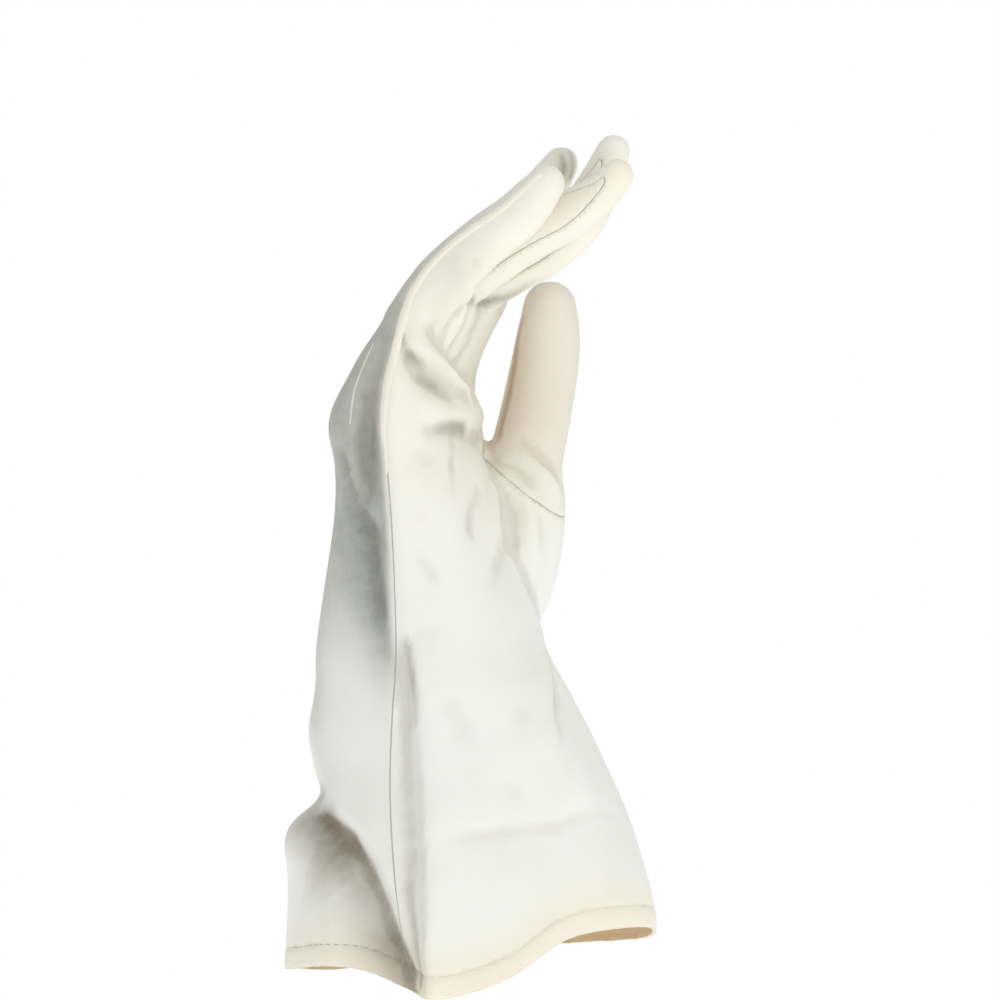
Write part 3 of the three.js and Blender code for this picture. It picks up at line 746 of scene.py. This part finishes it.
wallSet = {"leather": 0.8, "hem": 1.5}
leathers = {}
for name, number in pieces.items():
    part = shareOf(glove, number)
    drawIn(part)
    for f in part.faces:
        f.smooth = True
    obj = addObject(name + "_leather", meshFrom(part, name))
    paintPiece(obj)
    wall = obj.modifiers.new("wall", "SOLIDIFY")
    wall.thickness, wall.offset, wall.use_even_offset = wallSet["leather"] * mm, -1, False
    wall.material_offset, wall.material_offset_rim = 1, 0
    if name == "trank":
        group = obj.vertex_groups.new(name="hem")
        co = coordinatesOf(obj.data)
        inHem = (hemField(co) < cutSet["hemBand"]) & (co[:, 2] < cutSet["cuffTop"])
        group.add([int(k) for k in np.nonzero(inHem)[0]], 1.0, "REPLACE")
        wall.thickness = wallSet["hem"] * mm
        wall.vertex_group, wall.thickness_vertex_group = "hem", wallSet["leather"] / wallSet["hem"]
    leathers[name] = obj
    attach(obj, "root")
    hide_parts(name)
    print(name, len(obj.data.polygons), "faces")
bpy.data.objects.remove(skin)


def linear(code):  # sRGB hex to linear
    parts = [int(code[i:i + 2], 16) / 255 for i in (1, 3, 5)]
    return [c / 12.92 if c <= 0.04045 else ((c + 0.055) / 1.055) ** 2.4 for c in parts] + [1]


def addNode(tree, kind, settings=None, links=None):  # links: input to (node, output)
    node = tree.nodes.new(kind)
    for key, value in (settings or {}).items():
        if isinstance(key, int) or key in node.inputs:
            node.inputs[key].default_value = value
        else:
            setattr(node, key, value)
    for key, (source, output) in (links or {}).items():
        tree.links.new(source.outputs[output], node.inputs[key])
    return node


def newMaterial(name, settings):
    material = bpy.data.materials.new(name)
    material.use_nodes = True
    shader = material.node_tree.nodes["Principled BSDF"]
    for key, value in settings.items():
        shader.inputs[key].default_value = value
    return material, material.node_tree, shader


def scaleFor(size):  # pattern scale for a feature this many mm across
    return 1000 / size


# Kid: chrome-tanned goatskin dressed with a soft satin face. The eye sees an even cream with cloudy
# yellowing, fine pores and shallow wrinkles, with painted shade in the creases and on the back of the hand.
# Sizes are in mm. Real pores are about 0.3 mm apart, and are drawn 1 mm apart to show.
kidSet = {"cloud": 34, "mottle": 7, "grain": 1.0, "wrinkle": 5, "speck": 11, "grainDepth": 0.1,
          "wrinkleDepth": 0.45, "shadeColour": "#8b9088", "speckColour": "#8d7f6b"}


def kidLeather(name, cream, cloud, warm, shadeAndStain, roughness):
    material, tree, shader = newMaterial(name, {"IOR": 1.46, "Sheen Weight": 0.12, "Sheen Roughness": 0.5,
                                                "Subsurface Weight": 0.06, "Subsurface Scale": 0.002})
    place = addNode(tree, "ShaderNodeTexCoord")
    clouds = addNode(tree, "ShaderNodeTexNoise", {"Scale": scaleFor(kidSet["cloud"]), "Detail": 3.0},
                     {"Vector": (place, "Object")})
    mottle = addNode(tree, "ShaderNodeTexNoise",
                     {"Scale": scaleFor(kidSet["mottle"]), "Detail": 4.0, "Roughness": 0.6},
                     {"Vector": (place, "Object")})
    cloudRamp = addNode(tree, "ShaderNodeMapRange", {"From Min": 0.35, "From Max": 0.75},
                        {"Value": (clouds, "Fac")})
    patchy = addNode(tree, "ShaderNodeMapRange",
                     {"From Min": 0.3, "From Max": 0.7, "To Min": 0.85, "To Max": 1.08},
                     {"Value": (mottle, "Fac")})
    base = addNode(tree, "ShaderNodeMix", {"data_type": "RGBA", 6: linear(cream), 7: linear(cloud)},
                   {0: (cloudRamp, "Result")})
    yellowed = addNode(tree, "ShaderNodeAttribute", {"attribute_name": "warm"})
    base = addNode(tree, "ShaderNodeMix", {"data_type": "RGBA", 7: linear(warm)},
                   {0: (yellowed, "Fac"), 6: (base, 2)})
    # painted shade mixed into the colour: grey-green on the back, brownish in creases and hollows, with
    # stains
    for attribute, colour in (("paintedShade", kidSet["shadeColour"]), ("shadeAndStain", shadeAndStain)):
        painted = addNode(tree, "ShaderNodeAttribute", {"attribute_name": attribute})
        shadeAndStainAmount = addNode(tree, "ShaderNodeMath", {"operation": "MULTIPLY", "use_clamp": True},
                       {0: (painted, "Fac"), 1: (patchy, "Result")})
        base = addNode(tree, "ShaderNodeMix", {"data_type": "RGBA", 7: linear(colour)},
                       {0: (shadeAndStainAmount, 0), 6: (base, 2)})
    cells = addNode(tree, "ShaderNodeTexVoronoi", {"Scale": scaleFor(kidSet["speck"])},
                    {"Vector": (place, "Object")})
    dot = addNode(tree, "ShaderNodeMapRange",
                  {"From Min": 0.022, "From Max": 0.03, "To Min": 0.75, "To Max": 0},
                  {"Value": (cells, "Distance")})
    chosen = addNode(tree, "ShaderNodeMath", {"operation": "GREATER_THAN", 1: 0.8}, {0: (cells, "Color")})
    speck = addNode(tree, "ShaderNodeMath", {"operation": "MULTIPLY"}, {0: (dot, "Result"), 1: (chosen, 0)})
    base = addNode(tree, "ShaderNodeMix", {"data_type": "RGBA", 7: linear(kidSet["speckColour"])},
                   {0: (speck, 0), 6: (base, 2)})
    tree.links.new(base.outputs[2], shader.inputs["Base Color"])
    rough = addNode(tree, "ShaderNodeMapRange", {"To Min": roughness - 0.07, "To Max": roughness + 0.09},
                    {"Value": (mottle, "Fac")})
    tree.links.new(rough.outputs["Result"], shader.inputs["Roughness"])
    grain = addNode(tree, "ShaderNodeTexVoronoi",
                    {"feature": "SMOOTH_F1", "Scale": scaleFor(kidSet["grain"]), "Randomness": 1.0},
                    {"Vector": (place, "Object")})
    wrinkles = addNode(tree, "ShaderNodeTexNoise",
                       {"Scale": scaleFor(kidSet["wrinkle"]), "Detail": 5.0, "Roughness": 0.55,
                        "Distortion": 0.6}, {"Vector": (place, "Object")})
    soft = addNode(tree, "ShaderNodeBump", {"Strength": 0.35, "Distance": kidSet["wrinkleDepth"] * mm},
                   {"Height": (wrinkles, "Fac")})
    fine = addNode(tree, "ShaderNodeBump", {"Strength": 0.5, "Distance": kidSet["grainDepth"] * mm},
                   {"Height": (grain, "Distance"), "Normal": (soft, "Normal")})
    tree.links.new(fine.outputs["Normal"], shader.inputs["Normal"])
    return material


def fibres(name, settings, size, depth, strength, noise, light, dark):  # fine fibres of two colours
    material, tree, shader = newMaterial(name, settings)
    place = addNode(tree, "ShaderNodeTexCoord")
    fibre = addNode(tree, "ShaderNodeTexNoise", {"Scale": scaleFor(size), **noise},
                    {"Vector": (place, "Object")})
    colour = addNode(tree, "ShaderNodeMix", {"data_type": "RGBA", 6: linear(light), 7: linear(dark)},
                     {0: (fibre, "Fac")})
    tree.links.new(colour.outputs[2], shader.inputs["Base Color"])
    bump = addNode(tree, "ShaderNodeBump", {"Strength": strength, "Distance": depth * mm},
                   {"Height": (fibre, "Fac")})
    tree.links.new(bump.outputs["Normal"], shader.inputs["Normal"])
    return material


def cottonThread(name, light, dark):  # two twisted plies with a dull face
    return fibres(name, {"Roughness": 0.75, "Sheen Weight": 0.2}, 0.8, 0.1, 0.4, {"Detail": 2.0}, light, dark)


# cream, cloud and yellowed colours, the colour of painted crease shade and stains, and roughness
kid = kidLeather("creamKid", "#f5f5ef", "#f0f0e8", "#f6ecda", "#867b6a", 0.5)
wornKid = kidLeather("wornBeigeKid", "#e8ddd0", "#dfcfbd", "#f2eee4", "#b0977a", 0.48)
forkKid = kidLeather("forkKid", "#f4f2eb", "#f0ece2", "#eee0cd", "#94826b", 0.52)
# flesh side of the kid: brushed up, so a tan nap with no shine
inside = fibres("fleshSideKid", {"Roughness": 0.92, "Specular IOR Level": 0.2, "Sheen Weight": 0.35,
                                 "Sheen Roughness": 0.6},
                1.2, 0.2, 0.5, {"Detail": 6.0, "Roughness": 0.7}, "#f7e6c8", "#ecd1a6")
thread = cottonThread("creamCotton", "#f4f0e6", "#e6dfd0")
# grey thread for the hem stitches on the back-left, and the painted shadow line in the side seam's gap
greyThreadAndSeamShadow = cottonThread("greyedCottonAndSeamShadow", "#c8c5ba", "#aba89c")
for name, obj in leathers.items():
    obj.data.materials.clear()
    obj.data.materials.append({"trank": kid, "thumb": wornKid}.get(name, forkKid))
    obj.data.materials.append(inside)


def addPiece(name, bm, material):
    for f in bm.faces:
        f.smooth = True
    obj = addObject(name, meshFrom(bm, name))
    obj.data.materials.append(material)
    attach(obj, "root")
    print(name, len(obj.data.polygons), "faces")
    return obj


def smoothRow(rows, count):  # a smooth run through the rows, evenly spread
    rows = np.array(rows, dtype=float)
    fine = np.array([columnsAt(rows, t) for t in np.linspace(0, len(rows) - 1, count * 6)])
    lengths = np.concatenate([[0], np.cumsum(np.linalg.norm(np.diff(fine[:, :2], axis=0), axis=1))])
    even = np.linspace(0, lengths[-1], count)
    return np.array([[np.interp(d, lengths, fine[:, k]) for k in range(fine.shape[1])] for d in even])


def seenPath(rows, count):  # place, normal and further columns along a path given in the picture
    path = []
    for row in smoothRow(rows, count):
        place, normal = hitSkin(gloveTree, row[0], row[1])
        if place is not None:
            path.append((place / mm, normal, row[2:]))
    return path


def bead(bm, path, sides):  # a rounded strip along a path, with width and height at each place
    places = [np.array(p[0]) for p in path]
    rings = []
    for k, (place, normal, (width, height)) in enumerate(path):
        ahead = Vector(places[min(k + 1, len(path) - 1)] - places[max(k - 1, 0)]).normalized()
        across = normal.cross(ahead).normalized()
        up = ahead.cross(across)
        turns = 2 * np.pi * np.arange(sides) / sides
        rings.append(np.array(place) + np.outer(np.cos(turns) * width / 2, across)
                     + np.outer(np.sin(turns) * height, up))
    addTube(bm, rings)


def addBeads(name, paths, sides, material, attribute=None, level=0):
    beads = bmesh.new()
    for path in paths:
        bead(beads, path, sides)
    piece = addPiece(name, beads, material)
    if attribute:
        addAttribute(piece.data, attribute, np.full(len(piece.data.vertices), level))


addBeads("side_seam", [seenPath(sideSeam["raised"], 150)], 12, kid, "warm", 0.5)
# a thin grey bead down the side seam's gap: a painted shadow line
addBeads("side_seam_shadow_line", [seenPath(sideSeam["line"], 170)], 6, greyThreadAndSeamShadow)


def stitch(bm, place, ahead, normal, length, width):
    across = normal.cross(ahead).normalized()
    up = ahead.cross(across)
    turn = Matrix((ahead * length / 2, across * width / 2, up * width / 2)).transposed().to_4x4()
    bmesh.ops.create_uvsphere(bm, u_segments=6, v_segments=4, radius=mm,
                              matrix=Matrix.Translation(Vector(place) * mm) @ turn)


def stitchRun(bm, places, normals, size):
    steps = np.concatenate([[0], np.cumsum(np.linalg.norm(np.diff(places, axis=0), axis=1))])
    for d in np.arange(size["pitch"] / 2, steps[-1], size["pitch"]):
        k = int(np.clip(np.searchsorted(steps, d) - 1, 0, len(places) - 2))
        t = (d - steps[k]) / max(steps[k + 1] - steps[k], 1e-6)
        place = places[k] + (places[k + 1] - places[k]) * t
        ahead = Vector(places[min(k + 2, len(places) - 1)] - places[max(k - 1, 0)]).normalized()
        stitch(bm, place, ahead, Vector(normals[k]), size["length"], size["width"])


# Cuff edge stitching: small running stitches above the turned edge
hemStitch = {"length": 2.2, "pitch": 3.5, "width": 0.36, "lift": 0.05, "soiledFrom": -150, "soiledTo": -84}


def hemRun(fromAngle, toAngle):
    places, normals = [], []
    for angle in np.arange(fromAngle, toAngle, 0.5):
        a = math.radians(angle)
        centre = Vector((*cutSet["hemCentre"], float(hemAt(angle)) + cutSet["hemBand"])) * mm
        out = Vector((cutSet["hemHalf"][0] * math.cos(a), cutSet["hemHalf"][1] * math.sin(a), 0)) * mm * 3
        place, normal, face, far = gloveTree.ray_cast(centre + out, -out.normalized())
        if place is not None:
            places.append(np.array(place) / mm + np.array(normal) * hemStitch["lift"])
            normals.append(normal)
    return np.array(places), normals


for name, fromAngle, toAngle, material in (
        ("hem_stitches", hemStitch["soiledTo"], hemStitch["soiledFrom"] + 360, thread),
        ("hem_stitches_soiled", hemStitch["soiledFrom"], hemStitch["soiledTo"], greyThreadAndSeamShadow)):
    stitches = bmesh.new()
    stitchRun(stitches, *hemRun(fromAngle, toAngle), hemStitch)
    addPiece(name, stitches, material)

# Piecing seams of the thumb and forks: a row of stitches on the trank beside each
seamStitch = {"length": 1.5, "pitch": 2.3, "width": 0.3, "beside": 1.1, "lift": 0.05}


def seamChains():  # each seam as places in order, with a place beside it on the trank
    chains, left = [], dict.fromkeys(seamEdges)
    sides = {e: {f[share] for f in e.link_faces} for e in seamEdges}
    while left:
        start = next(iter(left))
        del left[start]
        chain = list(start.verts)
        for atEnd in (True, False):
            while True:
                end = chain[-1] if atEnd else chain[0]
                ahead = [e for e in end.link_edges if e in left and sides[e] == sides[start]]
                if not ahead:
                    break
                del left[ahead[0]]
                chain.insert(len(chain) if atEnd else 0, ahead[0].other_vert(end))
        trankSide = [f for f in start.link_faces if f[share] == pieces["trank"]]
        if trankSide and len(chain) > seamSet["shortest"]:
            chains.append(([v.co / mm for v in chain], trankSide[0].calc_center_median() / mm))
    return chains


def besideSeam(chain, towards):  # a run on the skin beside a seam, on the side of a place
    rows = []
    for k, p in enumerate(chain):
        near, normal, face, far = gloveTree.find_nearest(p * mm)
        ahead = (chain[min(k + 2, len(chain) - 1)] - chain[max(k - 2, 0)]).normalized()
        rows.append((p, normal.cross(ahead).normalized()))
    nearest, across = min(rows, key=lambda row: (row[0] - towards).length)
    side = 1 if (towards - nearest).dot(across) > 0 else -1
    places, normals = [], []
    for p, across in rows:
        near, normal, face, far = gloveTree.find_nearest((p + across * side * seamStitch["beside"]) * mm)
        places.append(np.array(near) / mm + np.array(normal) * seamStitch["lift"])
        normals.append(normal)
    return np.array(places), normals


stitches = bmesh.new()
for chain, towards in seamChains():
    stitchRun(stitches, *besideSeam(chain, towards), seamStitch)
addPiece("seam_stitches", stitches, thread)

# Points: three raised rows on the glove's back, the near one as the picture shows it
points = {"near": [(374, 342, 0.7, 0.1), (364, 364, 0.8, 0.18), (354, 392, 0.8, 0.2), (350, 424, 0.7, 0.1)],
          "far": [[(-7, 136), (-6, 112), (-5, 88), (-4, 66)], [(19, 136), (17, 112), (15, 88), (12, 66)]],
          "width": 0.8, "height": 0.2, "steps": 60, "sides": 8, "paintedShade": 0.3}


def backPath(row):  # along a row of y and z, seen from behind
    path = []
    for y, z in smoothRow(row, points["steps"]):
        place, normal, face, far = gloveTree.ray_cast(Vector((-200, y, z)) * mm, Vector((1, 0, 0)))
        if place is not None:
            path.append((place / mm, normal, (points["width"], points["height"])))
    return path


pointPaths = [seenPath(points["near"], points["steps"])] + [backPath(row) for row in points["far"]]
# the points take part of the back's painted shade
addBeads("back_points", pointPaths, points["sides"], kid, "paintedShade", points["paintedShade"])


# Stage: a pale floor and room, which the camera sees white, and soft lights placed in metres
stageSet = {"floorZ": -106.5, "radius": 2.4, "colour": "#ffffff", "glow": 0.4, "seen": 1.0, "lit": 0.6,
            "tint": "#fcfffd", "aim": (0.02, 0, 0.03)}
lights = {
    "right": {"at": (1.2, -0.5, 0.8), "size": 0.6, "power": 2.5, "colour": "#fffaf4"},
    "key": {"at": (0.75, -1.15, 0.5), "size": 0.7, "power": 1.2, "colour": "#fffaf4"},
    "top": {"at": (0.35, -0.2, 1.3), "size": 0.8, "power": 1.5, "colour": "#fffdfa"},
}


def seenApart(tree, lit, seen, output):  # the camera sees one shader, and the light meets the other
    path = addNode(tree, "ShaderNodeLightPath")
    mix = addNode(tree, "ShaderNodeMixShader", {}, {0: (path, "Is Camera Ray"), 1: (lit, 0), 2: (seen, 0)})
    tree.links.new(mix.outputs[0], tree.nodes[output].inputs[0])


def addStage():
    bm = bmesh.new()
    bmesh.ops.create_circle(bm, cap_ends=True, segments=96, radius=stageSet["radius"],
                            matrix=Matrix.Translation((0, 0, stageSet["floorZ"] * mm)))
    floor = addObject("floor", meshFrom(bm, "floor"))
    colour = linear(stageSet["colour"])
    paper, tree, shader = newMaterial("palePaper", {"Base Color": colour, "Roughness": 0.9,
                                                    "Emission Color": colour,
                                                    "Emission Strength": stageSet["glow"]})
    white = addNode(tree, "ShaderNodeEmission", {"Color": colour, "Strength": stageSet["seen"]})
    seenApart(tree, shader, white, "Material Output")
    floor.data.materials.append(paper)


def addLights():
    for name, row in lights.items():
        data = bpy.data.lights.new(name, "AREA")
        data.shape, data.size, data.energy = "DISK", row["size"], row["power"]
        data.color = linear(row["colour"])[:3]
        lamp = bpy.data.objects.new(name, data)
        scene.collection.objects.link(lamp)
        lamp.location, lamp.visible_camera = row["at"], False
        aim = Vector(stageSet["aim"]) - lamp.location
        lamp.rotation_mode = "QUATERNION"
        lamp.rotation_quaternion = aim.to_track_quat("-Z", "Y")


def addRoom():  # a dim room lights the glove, and a white one is seen behind it
    scene.world = bpy.data.worlds.new("room")
    scene.world.use_nodes = True
    tree = scene.world.node_tree
    dim = tree.nodes["Background"]
    dim.inputs["Color"].default_value = linear(stageSet["tint"])
    dim.inputs["Strength"].default_value = stageSet["lit"]
    pale = addNode(tree, "ShaderNodeBackground",
                   {"Color": linear(stageSet["colour"]), "Strength": stageSet["seen"]})
    seenApart(tree, dim, pale, "World Output")


addStage()
addLights()
addRoom()
print("stage and light")
